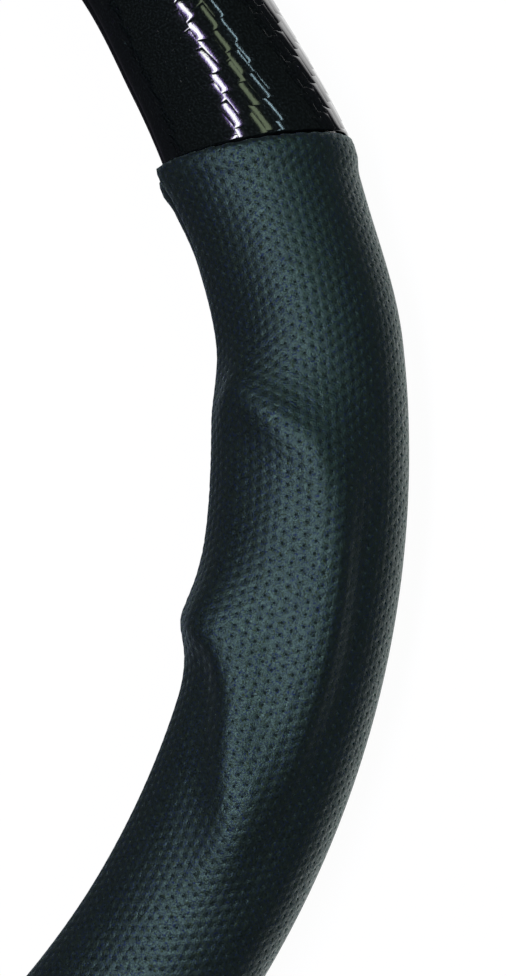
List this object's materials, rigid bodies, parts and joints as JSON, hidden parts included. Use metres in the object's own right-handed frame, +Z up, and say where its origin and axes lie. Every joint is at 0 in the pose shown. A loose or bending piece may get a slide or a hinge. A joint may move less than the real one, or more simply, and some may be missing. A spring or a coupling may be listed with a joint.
{
  "type": "steering wheel cover",
  "caption": "Slip-on ring cover for a steering wheel rim, with perforated leather grips that swell into palm rests and glossy carbon-look arcs between them.",
  "frame": {"origin": "middle of the ring on the plane that the cover lies on", "axes": "+Z up along the ring's axis, out of the side that faces the driver; +Y towards twelve o'clock; +X towards three o'clock, the right grip"},
  "size_m": [0.384, 0.3748, 0.0405],
  "materials": {
    "core_rubber": "matt, lightly ribbed inside",
    "perforated_leather": "satin, fine grain, perforated",
    "pad_foam": "open foam",
    "carbon_look_vinyl": "clear gloss over a woven relief"
  },
  "bodies": {
    "root": {"core_ring": "core_rubber", "grip_cover_right": "perforated_leather", "grip_cover_left": "perforated_leather", "palm_pad_right": "pad_foam", "palm_pad_left": "pad_foam", "gloss_cover_top": "carbon_look_vinyl", "gloss_cover_bottom": "carbon_look_vinyl"}
  },
  "joints": []
}
